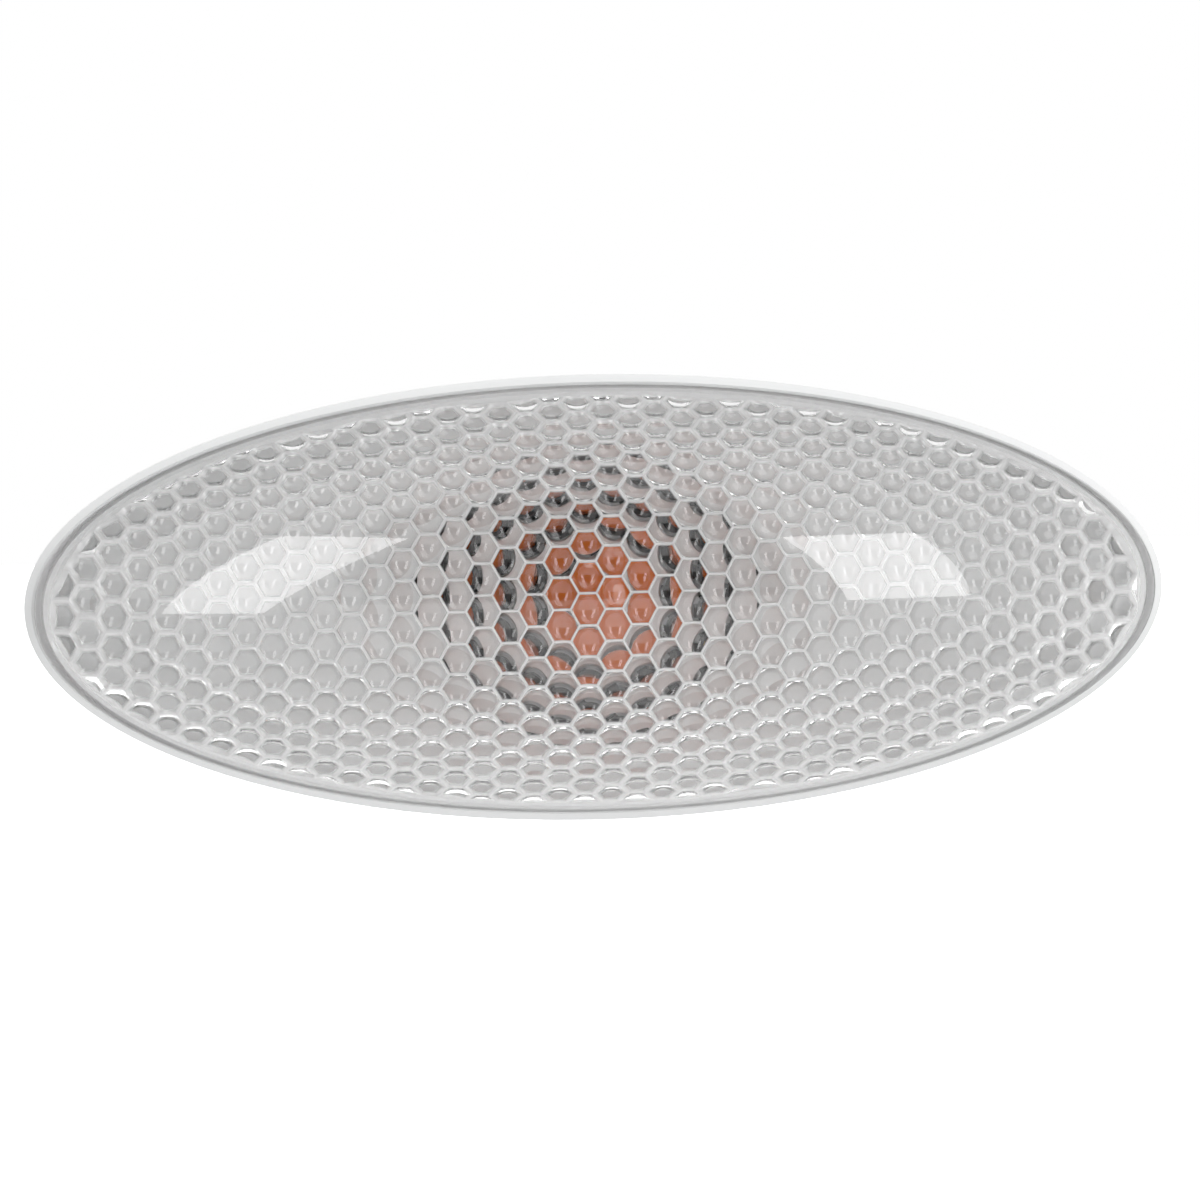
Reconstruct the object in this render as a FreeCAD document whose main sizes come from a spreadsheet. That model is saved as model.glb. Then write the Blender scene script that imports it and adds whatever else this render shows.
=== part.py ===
"""Oval side indicator lamp for a vehicle wing.

A clear domed lens with hexagonal pillow optics is bonded to a white moulded housing.
The housing clips into a panel cut-out over a foam gasket.  A twist-in holder carries a
capless amber wedge bulb and the two contacts that lead to the plug socket at the back.

Every piece is drawn with x along the lamp, y up and z out of the panel, with z = 0 on
the panel.  The finished pieces are then turned so that the lens faces -Y and +Z is up.
"""
import FreeCAD, Part
import math
import os
import re

import Sketcher

Vector = FreeCAD.Vector

SIZES = {
    "lens_half_length": (44.25, "half length of the lens edge"),
    "lens_half_height": (16.83, "half height of the lens edge"),
    "lens_edge_height": (1.1, "straight edge of the lens above its seat"),
    "lens_rise": (10.8, "rise of the smooth outer dome above the lens edge"),
    "lens_fullness": (0.90, "part of the outer ellipsoid that the dome uses"),
    "lens_wall": (2.2, "lens thickness at the crown of the middle pillow"),
    "lens_rim_width": (1.6, "solid rim between the lens edge and the optics"),
    "optic_fullness": (0.8875, "part of the inner ellipsoid that the optics use"),
    "optic_land": (0.35, "height of the optics' edge above the lens seat"),
    "pillow_radius": (2.5, "crown radius of one pillow"),
    "column_pitch": (2.017, "pillow columns, pitch along the lamp"),
    "row_pitch": (2.375, "pillows of one column, pitch at the middle"),
    "row_crowding": (11.58, "distance over which the rows crowd towards the long edges"),
    "lattice_shift_x": (-1.36, "place of the middle column"),
    "lattice_shift_y": (-0.31, "place of the middle row"),
    "tongue_width": (0.7, "bonding tongue under the lens rim"),
    "tongue_depth": (0.8, "depth of the bonding tongue"),
    "bond_clearance": (0.05, "room for the bond round the tongue"),
    "flange_margin": (0.75, "housing flange outside the lens edge"),
    "flange_bevel": (0.55, "bevel round the front of the housing flange"),
    "flange_thickness": (1.8, "thickness of the housing flange"),
    "gasket_thickness": (1.4, "thickness of the pressed foam gasket"),
    "gasket_inset": (1.0, "gasket edge behind the flange edge"),
    "gasket_clearance": (0.4, "gasket hole round the housing tub"),
    "cavity_inset": (4.6, "housing cavity inside the lens edge"),
    "housing_wall": (1.6, "wall of the moulded housing"),
    "wing_depth": (6.0, "depth of the shallow side wings below the flange"),
    "bowl_half_length": (20.0, "half length of the deep middle bowl"),
    "bowl_step": (1.8, "step from the wings' top edge in to the bowl"),
    "bowl_depth": (10.0, "depth of the middle bowl below the flange"),
    "neck_depth": (12.6, "back of the neck behind the panel"),
    "lock_plate": (2.0, "thickness of the neck's back plate"),
    "rib_thickness": (1.4, "stiffening ribs beside the neck"),
    "rib_reach": (17.0, "length of the ribs outside the neck"),
    "clip_width": (7.0, "width of the hook and of the spring tongue"),
    "clip_thickness": (1.4, "thickness of the hook and of the spring tongue"),
    "clip_reach": (2.8, "reach of the hook and of the snap nose"),
    "clip_inset": (1.4, "tips of the clips inside the end of the housing tub"),
    "clip_drop": (4.0, "depth of the clips behind the panel"),
    "panel_grip": (1.4, "panel thickness that the clips take"),
    "core_radius": (6.6, "radius of the holder's core"),
    "core_clearance": (0.25, "running clearance round the turning holder"),
    "core_length": (4.5, "core in front of the neck's back plate"),
    "lug_reach": (1.3, "bayonet lugs outside the core"),
    "lug_width": (4.5, "width of a bayonet lug"),
    "lug_thickness": (1.6, "thickness of a bayonet lug"),
    "lug_gap": (0.1, "play between the lugs and the back plate"),
    "twist_angle": (60.0, "turn from locked to free"),
    "seal_thickness": (1.2, "ring seal under the holder's flange"),
    "seal_inset": (0.8, "seal edge inside the holder's flange"),
    "holder_flange_radius": (11.5, "radius of the holder's flange"),
    "holder_flange_thickness": (2.0, "thickness of the holder's flange"),
    "grip_reach": (3.5, "finger wings outside the holder's flange"),
    "grip_thickness": (3.0, "thickness of the finger wings"),
    "socket_half_length": (6.2, "plug socket, half length inside"),
    "socket_half_height": (4.7, "plug socket, half height inside"),
    "socket_wall": (1.4, "wall of the plug socket"),
    "socket_depth": (10.5, "depth of the plug socket"),
    "web_thickness": (2.0, "web between the bulb slot and the plug socket"),
    "contact_thickness": (0.6, "contact strip thickness"),
    "contact_width": (2.8, "contact strip width"),
    "contact_spacing": (5.2, "distance between the two contacts"),
    "finger_bow": (0.72, "bow of a contact's spring finger off the slot's wall"),
    "blade_length": (7.5, "free length of a contact blade in the socket"),
    "bulb_radius": (5.0, "radius of the bulb"),
    "bulb_length": (26.8, "bulb from its tip to the end of its wedge"),
    "bulb_wall": (0.7, "glass wall"),
    "bulb_clearance": (0.35, "room between the bulb and the holder"),
    "bulb_cup_depth": (3.15, "depth of the cup round the bulb's foot"),
    "bulb_foot_share": (0.8, "narrow end of the bulb's foot as a part of its radius"),
    "wedge_width": (9.5, "width of the pressed glass wedge"),
    "wedge_thickness": (2.1, "thickness of the pressed glass wedge"),
    "wedge_length": (8.5, "length of the pressed glass wedge"),
    "lead_radius": (0.25, "radius of the lead wires"),
    "lead_fold": (4.5, "length of a lead folded up the wedge"),
    "filament_radius": (0.3, "outer radius of the coiled filament"),
    "filament_drop": (7.5, "filament below the bulb's tip"),
}

DERIVED = {
    "seat": "gasket_thickness + flange_thickness",
    "tongue_middle": "lens_rim_width / 2",
    "cavity_half_length": "lens_half_length - cavity_inset",
    "cavity_half_height": "lens_half_height - cavity_inset",
    "bowl_half_height": "cavity_half_height - bowl_step",
    "neck_bore": "hypot(lug_radius; lug_width / 2) + core_clearance",
    "neck_radius": "neck_bore + housing_wall",
    "plate_back": "-neck_depth",
    "plate_front": "plate_back + lock_plate",
    "core_front": "plate_front + core_length",
    "lug_back": "plate_front + lug_gap",
    "lug_radius": "core_radius + lug_reach",
    "seal_front": "plate_back - lug_gap",
    "flange_front": "seal_front - seal_thickness",
    "flange_back": "flange_front - holder_flange_thickness",
    "cup_radius": "bulb_radius + bulb_clearance",
    "wedge_top": "core_front - bulb_cup_depth",
    "wedge_end": "wedge_top - wedge_length",
    "bulb_tip": "wedge_end + bulb_length",
    "contact_offset": "wedge_thickness / 2 + 2 * lead_radius",
    "slot_half_height": "contact_offset + finger_bow + contact_thickness",
    "slot_half_length": "wedge_width / 2 + bulb_clearance",
    "slot_floor": "wedge_end - 2 * lead_radius - 3 * contact_thickness",
    "web_back": "slot_floor - web_thickness",
    "socket_back": "web_back - socket_depth",
    "filament_level": "bulb_tip - filament_drop",
    "clip_outer": "cavity_half_length + housing_wall - clip_inset",
    "clip_inner": "clip_outer - clip_reach",
    "clip_face": "-panel_grip",
    "clip_end": "-clip_drop",
}

doc = FreeCAD.newDocument("indicator_lamp")
sheet = doc.addObject("Spreadsheet::Sheet", "Sizes")
for row, (alias, (value, meaning)) in enumerate(SIZES.items(), start=1):
    sheet.set("A%d" % row, alias)
    sheet.set("B%d" % row, str(value))
    sheet.set("C%d" % row, meaning)
    sheet.setAlias("B%d" % row, alias)
doc.recompute()


def spelled(text, prefix="Sizes."):
    """Write an expression with derived names opened up and sheet names prefixed."""
    def swap(match):
        word = match.group(0)
        if word in DERIVED:
            return "(" + spelled(DERIVED[word], prefix) + ")"
        return prefix + word if word in SIZES else word
    return re.sub(r"[a-z][a-z_]*", swap, text)


def size(text):
    """Number that an expression gives with the sheet's present values."""
    return float(sheet.evalExpression(spelled(text, "")))


def tie(thing, **sizes):
    """Bind properties of a document object to expressions."""
    for name, text in sizes.items():
        thing.setExpression(name.replace("__", "."), spelled(text))
    return thing


def place(thing, x="0", y="0", z="0"):
    """Bind the position of a primitive."""
    return tie(thing, Placement__Base__x=x, Placement__Base__y=y, Placement__Base__z=z)


def primitive(kind, name, x="0", y="0", z="0", **sizes):
    """Part primitive with bound sizes and place."""
    return place(tie(doc.addObject("Part::" + kind, name), **sizes), x, y, z)


def ellipsoid(name, half_x, half_y, half_z, z="seat"):
    """Whole ellipsoid round a point on the lamp's axis."""
    return primitive("Ellipsoid", name, z=z, Radius1=half_z, Radius2=half_x, Radius3=half_y)


def oval_block(name, half_x, half_y, bottom, height):
    """Upright elliptical block."""
    oval = place(doc.addObject("Part::Ellipse", name + "_oval"), z=bottom)
    tie(oval, MajorRadius=half_x, MinorRadius=half_y)
    block = doc.addObject("Part::Extrusion", name)
    block.Base = oval
    block.DirMode = "Custom"
    block.Dir = Vector(0, 0, 1)
    block.Solid = True
    return tie(block, LengthFwd=height)


def oval_bevel(name, half_x, half_y, bottom, height):
    """Elliptical block whose side leans in by its height."""
    sections = []
    for level, inset in (("0", "0"), (height, height)):
        oval = place(doc.addObject("Part::Ellipse", name + "_oval"), z="%s + %s" % (bottom, level))
        sections.append(tie(oval, MajorRadius="%s - %s" % (half_x, inset),
                            MinorRadius="%s - %s" % (half_y, inset)))
    block = doc.addObject("Part::Loft", name)
    block.Sections = sections
    block.Solid = True
    block.Ruled = True
    return block


def joined(name, pieces):
    """Union of several shapes."""
    union = doc.addObject("Part::MultiFuse", name)
    union.Shapes = pieces
    return union


def cut(name, base, tool):
    """One shape less another."""
    result = doc.addObject("Part::Cut", name)
    result.Base = base
    result.Tool = tool
    return result


def origin_plane(body, role):
    """One of a body's own origin planes."""
    return [part for part in body.Origin.OriginFeatures if part.Role == role][0]


def sketch_on(body, name, role, lift="0"):
    """Empty sketch on an origin plane, lifted along the plane's normal."""
    sketch = body.newObject("Sketcher::SketchObject", name)
    sketch.AttachmentSupport = [(origin_plane(body, role), "")]
    sketch.MapMode = "FlatFace"
    return tie(sketch, AttachmentOffset__Base__z=lift)


def fix_point(sketch, edge, end, x, y):
    """Bind one end of a sketch edge to two coordinates."""
    for kind, text in (("DistanceX", x), ("DistanceY", y)):
        rule = Sketcher.Constraint(kind, -1, 1, edge, end, size(text))
        index = sketch.addConstraint(rule)
        sketch.setExpression("Constraints[%d]" % index, spelled(text))


def draw_polygon(sketch, corners):
    """Closed polygon whose corners are bound to expressions."""
    points = [Vector(size(x), size(y), 0) for x, y in corners]
    first = sketch.GeometryCount
    count = len(points)
    for step in range(count):
        sketch.addGeometry(Part.LineSegment(points[step], points[(step + 1) % count]))
    for step in range(count):
        follower = first + (step + 1) % count
        sketch.addConstraint(Sketcher.Constraint("Coincident", first + step, 2, follower, 1))
        fix_point(sketch, first + step, 1, *corners[step])
    return sketch


def draw_rectangle(sketch, half_x, half_y, x="0", y="0"):
    """Rectangle about a point."""
    left, right = "%s - (%s)" % (x, half_x), "%s + (%s)" % (x, half_x)
    low, high = "%s - (%s)" % (y, half_y), "%s + (%s)" % (y, half_y)
    return draw_polygon(sketch, [(left, low), (right, low), (right, high), (left, high)])


def draw_circle(sketch, radius):
    """Circle round the sketch origin."""
    edge = sketch.addGeometry(Part.Circle(Vector(), Vector(0, 0, 1), size(radius)))
    sketch.addConstraint(Sketcher.Constraint("Coincident", edge, 3, -1, 1))
    index = sketch.addConstraint(Sketcher.Constraint("Radius", edge, size(radius)))
    sketch.setExpression("Constraints[%d]" % index, spelled(radius))
    return sketch


def revolve(body, name, corners):
    """Turn a section, given as radius and height, round the body's z axis."""
    turned = body.newObject("PartDesign::Revolution", name)
    turned.Profile = draw_polygon(sketch_on(body, name + "_section", "XZ_Plane"), corners)
    turned.ReferenceAxis = (turned.Profile[0], ["V_Axis"])
    turned.Angle = 360
    return turned


def pad(body, name, sketch, length, both_ways=False):
    """Raise a sketch along its normal."""
    raised = body.newObject("PartDesign::Pad", name)
    raised.Profile = sketch
    raised.Midplane = both_ways
    return tie(raised, Length=length)


def pocket(body, name, sketch, depth):
    """Sink a sketch towards its plane's back; the body must lose volume."""
    before = body.Tip.Shape.Volume
    sunk = body.newObject("PartDesign::Pocket", name)
    sunk.Profile = sketch
    tie(sunk, Length=depth)
    doc.recompute()
    if sunk.Shape.Volume >= before:
        raise ValueError(name + " cuts nothing")
    return sunk


PIECES = {}


def finish(label, thing):
    """Keep a sub-part and turn it to face -Y with +Z up."""
    thing.Label = label
    thing.Placement = FreeCAD.Placement(Vector(), FreeCAD.Rotation(Vector(1, 0, 0), 90))
    PIECES[label] = thing


class PillowOptics:
    """Inner face of the lens: a hexagonal lattice of convex pillows laid on an ellipsoid.

    Columns stand upright at one pitch along the lamp.  The pillows of a column crowd
    towards the long edges, where the dome is steep.  Each pillow is a cap of one crown
    radius, and neighbouring caps meet along the sides of a hexagon.
    """

    def __init__(self):
        self.edge_x = size("lens_half_length - lens_rim_width")
        self.edge_y = size("lens_half_height - lens_rim_width")
        fullness = size("optic_fullness")
        self.half_x = self.edge_x / fullness
        self.half_y = self.edge_y / fullness
        rise = size("lens_edge_height + lens_rise - lens_wall - optic_land")
        self.half_z = rise / (1 - math.sqrt(1 - fullness ** 2))
        self.centre_z = size("seat + optic_land") + rise - self.half_z
        self.column = size("column_pitch")
        self.row = size("row_pitch")
        self.crowding = size("row_crowding")
        self.crown = size("pillow_radius")
        self.shift = (size("lattice_shift_x"), size("lattice_shift_y"))
        self.evening = self.row * math.sqrt(3) / 2 / self.column
        self.snap = self.row / 12

    def centre(self, column, row):
        """Lattice place of a pillow; every other column is half a row higher."""
        raised = 0.5 * (column % 2)
        return (self.shift[0] + column * self.column, self.shift[1] + (row + raised) * self.row)

    def corners(self, centre):
        """Six lattice corners of a pillow, with level top and bottom sides."""
        near, far = self.column / 3, 2 * self.column / 3
        half = self.row / 2
        steps = ((far, 0), (near, half), (-near, half), (-far, 0), (-near, -half), (near, -half))
        return [(centre[0] + along, centre[1] + up) for along, up in steps]

    def room(self, x):
        """Height of the inner ellipsoid at a place along the lamp, as a part of its middle height."""
        return math.sqrt(max(1 - (x / self.half_x) ** 2, 0.01))

    def point(self, place, centre):
        """Point of the pillow face over a lattice place."""
        x = place[0]
        crowding = self.crowding * self.room(x)
        y = crowding * math.asinh(place[1] / crowding)
        z = self.half_z * math.sqrt(max(1 - (x / self.half_x) ** 2 - (y / self.half_y) ** 2, 0.01))
        outward = Vector(x / self.half_x ** 2, y / self.half_y ** 2, z / self.half_z ** 2)
        outward.normalize()
        along = (place[0] - centre[0]) * self.evening
        away = math.hypot(along, place[1] - centre[1])
        fall = self.crown - math.sqrt(self.crown ** 2 - away ** 2)
        return Vector(x, y, self.centre_z + z) + outward * fall

    def inside(self, point):
        """Distance, about, from a point to the oval edge of the optics; outside is negative."""
        return (1 - math.hypot(point.x / self.edge_x, point.y / self.edge_y)) * self.edge_y

    def on_edge(self, point):
        """Move a point level onto the oval edge of the optics."""
        reach = math.hypot(point.x / self.edge_x, point.y / self.edge_y)
        return Vector(point.x / reach, point.y / reach, point.z)

    def crossing(self, kept, lost, centre):
        """Point where a side of a pillow meets the oval edge."""
        for _ in range(40):
            middle = ((kept[0] + lost[0]) / 2, (kept[1] + lost[1]) / 2)
            if self.inside(self.point(middle, centre)) > 0:
                kept = middle
            else:
                lost = middle
        return self.on_edge(self.point(kept, centre))

    def outline(self, centre):
        """Corner points of a pillow, trimmed at the oval edge, and whether it is whole."""
        places = self.corners(centre)
        points = [self.point(place, centre) for place in places]
        depths = [self.inside(point) for point in points]
        if max(depths) <= self.snap:
            return [], False
        trimmed = []
        for step in range(6):
            after = (step + 1) % 6
            if depths[step] > self.snap:
                trimmed.append(points[step])
            elif depths[step] >= -self.snap:
                trimmed.append(self.on_edge(points[step]))
            if depths[step] > self.snap and depths[after] < -self.snap:
                trimmed.append(self.crossing(places[step], places[after], centre))
            elif depths[step] < -self.snap and depths[after] > self.snap:
                trimmed.append(self.crossing(places[after], places[step], centre))
        return trimmed, min(depths) > self.snap

    def pillows(self):
        """Trimmed outline and crown point of every pillow that the optics hold."""
        columns = int(self.edge_x / self.column) + 2
        rows = int(self.crowding * math.sinh(self.edge_y / self.crowding) / self.row) + 2
        for column in range(-columns, columns + 1):
            for row in range(-rows, rows + 1):
                centre = self.centre(column, row)
                if self.inside(self.point(centre, centre)) < -self.row:
                    continue
                outline, whole = self.outline(centre)
                if len(outline) > 2:
                    crown = self.point(centre, centre)
                    if not whole:
                        crown = sum(outline, Vector()) * (1 / len(outline))
                    yield outline, crown


def flat_face(points):
    """Plane face through points in order."""
    return Part.Face(Part.makePolygon(points + [points[0]]))


def oval_edge(half_x, half_y, z):
    """Closed elliptical edge at one height."""
    return Part.Ellipse(Vector(0, 0, z), half_x, half_y).toShape()


def ring_face(outer, inner):
    """Flat ring between two closed wires."""
    ring = Part.Face([outer, inner])
    ring.validate()
    return ring


def make_lens():
    """Clear lens: smooth dome outside, pillows inside, a rim with a bonding tongue."""
    optics = PillowOptics()
    seat = size("seat")
    shoulder = size("seat + lens_edge_height")
    fullness = size("lens_fullness")
    half_x, half_y = size("lens_half_length"), size("lens_half_height")
    dome_height = size("lens_rise") / (1 - math.sqrt(1 - fullness ** 2))
    start_angle = math.degrees(math.acos(fullness))
    cap = Part.makeSphere(1.0, Vector(), Vector(0, 0, 1), start_angle, 90, 360)
    stretch = FreeCAD.Matrix()
    stretch.scale(half_x / fullness, half_y / fullness, dome_height)
    stretch.move(Vector(0, 0, shoulder - dome_height * math.sqrt(1 - fullness ** 2)))
    dome = max(cap.transformGeometry(stretch).Faces, key=lambda face: face.Area)

    pillow_faces = []
    side_uses = {}
    for outline, crown in optics.pillows():
        for step, start in enumerate(outline):
            end = outline[(step + 1) % len(outline)]
            pillow_faces.append(flat_face([start, end, crown]))
            key = frozenset((round(p.x, 4), round(p.y, 4), round(p.z, 4)) for p in (start, end))
            side_uses.setdefault(key, []).append((start, end))
    edge_sides = [uses[0] for uses in side_uses.values() if len(uses) == 1]
    edge_sides.sort(key=lambda side: math.atan2(side[0].y / half_y, side[0].x / half_x))
    wall_faces = []
    foot = []
    for start, end in edge_sides:
        low_start, low_end = Vector(start.x, start.y, seat), Vector(end.x, end.y, seat)
        wall_faces.append(flat_face([start, end, low_end, low_start]))
        foot.append(low_start)
    foot_wire = Part.makePolygon(foot + [foot[0]])

    middle, half_tongue = size("tongue_middle"), size("tongue_width / 2")
    tongue_end = size("seat - tongue_depth")
    drop = Vector(0, 0, -size("tongue_depth"))
    edge = oval_edge(half_x, half_y, seat)
    outer = oval_edge(half_x - middle + half_tongue, half_y - middle + half_tongue, seat)
    inner = oval_edge(half_x - middle - half_tongue, half_y - middle - half_tongue, seat)
    outer_low = oval_edge(half_x - middle + half_tongue, half_y - middle + half_tongue, tongue_end)
    inner_low = oval_edge(half_x - middle - half_tongue, half_y - middle - half_tongue, tongue_end)
    rim_faces = [
        edge.extrude(Vector(0, 0, size("lens_edge_height"))),
        ring_face(Part.Wire(edge), Part.Wire(outer)),
        outer.extrude(drop),
        ring_face(Part.Wire(outer_low), Part.Wire(inner_low)),
        inner.extrude(drop),
        ring_face(Part.Wire(inner), foot_wire),
    ]
    shell = Part.makeShell([dome] + rim_faces + wall_faces + pillow_faces)
    shell.sewShape(0.0001)
    solid = Part.makeSolid(shell)
    if solid.Volume < 0:
        solid.reverse()
    lens = doc.addObject("Part::Feature", "lens_solid")
    lens.Shape = solid
    finish("lens", lens)


def make_housing():
    """White housing: oval flange, bowl with two wings, holder neck, ribs and clips."""
    flange_x, flange_y = "lens_half_length + flange_margin", "lens_half_height + flange_margin"
    flange = oval_block("flange", flange_x, flange_y, "gasket_thickness",
                        "flange_thickness - flange_bevel")
    brow = oval_bevel("flange_brow", flange_x, flange_y, "seat - flange_bevel", "flange_bevel")
    wing_skin = ellipsoid("wing_skin", "cavity_half_length + housing_wall",
                          "cavity_half_height + housing_wall", "wing_depth + housing_wall")
    bowl_skin = ellipsoid("bowl_skin", "bowl_half_length + housing_wall",
                          "bowl_half_height + housing_wall", "bowl_depth + housing_wall")
    neck = primitive("Cylinder", "neck", z="plate_back", Radius="neck_radius",
                     Height="seat - plate_back")
    moulding = joined("moulding", [flange, brow, wing_skin, bowl_skin, neck, make_ribs(),
                                   make_hook(), make_spring_tongue()])

    trim = primitive("Box", "front_trim", "-2 * lens_half_length", "-2 * lens_half_height", "seat",
                     Length="4 * lens_half_length", Width="4 * lens_half_height",
                     Height="2 * bowl_depth")
    wing_hollow = ellipsoid("wing_hollow", "cavity_half_length", "cavity_half_height", "wing_depth")
    bowl_hollow = ellipsoid("bowl_hollow", "bowl_half_length", "bowl_half_height", "bowl_depth")
    bore = primitive("Cylinder", "neck_hollow", z="plate_front", Radius="neck_bore",
                     Height="seat - plate_front")
    keyhole = make_keyhole()
    groove = make_groove()
    hollow = joined("hollow", [trim, wing_hollow, bowl_hollow, bore, keyhole, groove])
    finish("housing", cut("housing_solid", moulding, hollow))


def make_groove():
    """Oval groove in the flange that takes the lens tongue."""
    wide = "tongue_middle - tongue_width / 2 - bond_clearance"
    narrow = "tongue_middle + tongue_width / 2 + bond_clearance"
    bottom, height = "seat - tongue_depth - bond_clearance", "tongue_depth + 2 * bond_clearance"
    outer = oval_block("groove_outer", "lens_half_length - (%s)" % wide,
                       "lens_half_height - (%s)" % wide, bottom, height)
    inner = oval_block("groove_inner", "lens_half_length - (%s)" % narrow,
                       "lens_half_height - (%s)" % narrow, bottom, height)
    return cut("groove", outer, inner)


def make_keyhole():
    """Round hole in the neck's back plate with two notches that pass the bayonet lugs."""
    hole = primitive("Cylinder", "plate_hole", z="plate_back", Radius="core_radius + core_clearance",
                     Height="lock_plate")
    notch = primitive("Box", "notch_bar", "-(lug_radius + core_clearance)",
                      "-(lug_width / 2 + core_clearance)", "plate_back",
                      Length="2 * (lug_radius + core_clearance)",
                      Width="lug_width + 2 * core_clearance", Height="lock_plate")
    keyhole = joined("keyhole", [hole, notch])
    return tie(keyhole, Placement__Rotation__Angle="180 - twist_angle")


def bar_section(name, corners, width):
    """Bar along y whose x-z section is a polygon."""
    sketch = doc.addObject("Sketcher::SketchObject", name + "_section")
    sketch.Placement = FreeCAD.Placement(Vector(), FreeCAD.Rotation(Vector(1, 0, 0), 90))
    draw_polygon(sketch, corners)
    bar = doc.addObject("Part::Extrusion", name)
    bar.Base = sketch
    bar.DirMode = "Custom"
    bar.Dir = Vector(0, 1, 0)
    bar.Symmetric = True
    bar.Solid = True
    return tie(bar, LengthFwd=width)


def make_ribs():
    """Web on each side of the neck, tapering out along the wings."""
    foot = "neck_radius + 1.5 * rib_thickness"
    toe = "neck_radius + rib_reach"
    return bar_section("ribs", [
        ("-(%s)" % toe, "seat - wing_depth / 2"), ("-(%s)" % foot, "plate_front"),
        (foot, "plate_front"), (toe, "seat - wing_depth / 2")], "rib_thickness")


def make_hook():
    """Fixed hook behind one end of the flange; its lip goes in under the panel first."""
    heel = "-clip_inner + clip_thickness"
    return bar_section("hook", [
        (heel, "gasket_thickness"), (heel, "clip_end"),
        ("-clip_outer", "clip_end"), ("-clip_outer", "clip_face"),
        ("-clip_inner", "clip_face"), ("-clip_inner", "gasket_thickness")], "clip_width")


def make_spring_tongue():
    """Moulded spring at the other end: a leg, a turn and a free leg with a snap nose."""
    root = "clip_inner - 4 * clip_thickness"
    root_out = "clip_inner - 3 * clip_thickness"
    turn = "clip_end - 1.5 * clip_thickness"
    free_in = "clip_inner - 2 * clip_thickness"
    free_out = "clip_inner - clip_thickness"
    nose_foot = "clip_face - 1.5 * clip_thickness"
    return bar_section("spring_tongue", [
        (root, "gasket_thickness"), (root, "%s - clip_thickness / 2" % turn),
        ("%s + clip_thickness / 2" % root, "%s - clip_thickness" % turn),
        ("%s - clip_thickness / 2" % free_out, "%s - clip_thickness" % turn),
        (free_out, "%s - clip_thickness / 2" % turn), (free_out, nose_foot),
        ("clip_outer", "clip_face - clip_thickness / 2"), ("clip_outer", "clip_face"),
        ("clip_inner", "clip_face"), (free_in, "clip_face - clip_thickness / 2"),
        (free_in, turn), (root_out, turn), (root_out, "gasket_thickness")], "clip_width")


def make_gasket():
    """Foam ring that seals the flange to the panel."""
    outer = oval_block("gasket_outer", "lens_half_length + flange_margin - gasket_inset",
                       "lens_half_height + flange_margin - gasket_inset", "0", "gasket_thickness")
    inner = oval_block("gasket_inner", "cavity_half_length + housing_wall + gasket_clearance",
                       "cavity_half_height + housing_wall + gasket_clearance",
                       "0", "gasket_thickness")
    finish("gasket", cut("gasket_solid", outer, inner))


def make_bulb_holder():
    """Black twist-in holder: core with bayonet lugs, flange with finger wings, plug socket."""
    body = doc.addObject("PartDesign::Body", "bulb_holder_body")
    revolve(body, "core", [
        ("0", "web_back"), ("core_radius", "web_back"), ("core_radius", "flange_back"),
        ("holder_flange_radius", "flange_back"), ("holder_flange_radius", "flange_front"),
        ("core_radius", "flange_front"), ("core_radius", "core_front"), ("0", "core_front")])
    lugs = draw_rectangle(sketch_on(body, "lugs_plan", "XY_Plane", "lug_back"),
                          "lug_radius", "lug_width / 2")
    pad(body, "lugs", lugs, "lug_thickness")
    wings = draw_rectangle(sketch_on(body, "finger_wings_plan", "XY_Plane", "web_back"),
                           "grip_thickness / 2", "holder_flange_radius + grip_reach")
    pad(body, "finger_wings", wings, "flange_front - web_back")
    shroud = draw_rectangle(sketch_on(body, "shroud_plan", "XY_Plane", "socket_back"),
                            "socket_half_length + socket_wall", "socket_half_height + socket_wall")
    pad(body, "shroud", shroud, "flange_back - socket_back")
    doc.recompute()

    cup = draw_circle(sketch_on(body, "bulb_cup_plan", "XY_Plane", "core_front"), "cup_radius")
    pocket(body, "bulb_cup", cup, "bulb_cup_depth")
    slot = draw_rectangle(sketch_on(body, "wedge_slot_plan", "XY_Plane", "wedge_top"),
                          "slot_half_length", "slot_half_height")
    pocket(body, "wedge_slot", slot, "wedge_top - slot_floor")
    strips = sketch_on(body, "strip_slots_plan", "XY_Plane", "slot_floor")
    for side in ("-", ""):
        draw_rectangle(strips, "contact_width / 2", "contact_thickness / 2",
                       side + "contact_spacing / 2")
    pocket(body, "strip_slots", strips, "web_thickness")
    socket = draw_rectangle(sketch_on(body, "plug_socket_plan", "XY_Plane", "web_back"),
                            "socket_half_length", "socket_half_height")
    pocket(body, "plug_socket", socket, "socket_depth")
    finish("bulb_holder", body)


def make_holder_seal():
    """Rubber ring between the holder's flange and the neck."""
    body = doc.addObject("PartDesign::Body", "holder_seal_body")
    inner, outer = "core_radius", "holder_flange_radius - seal_inset"
    revolve(body, "ring", [(inner, "flange_front"), (outer, "flange_front"),
                           (outer, "seal_front"), (inner, "seal_front")])
    finish("holder_seal", body)


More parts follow.
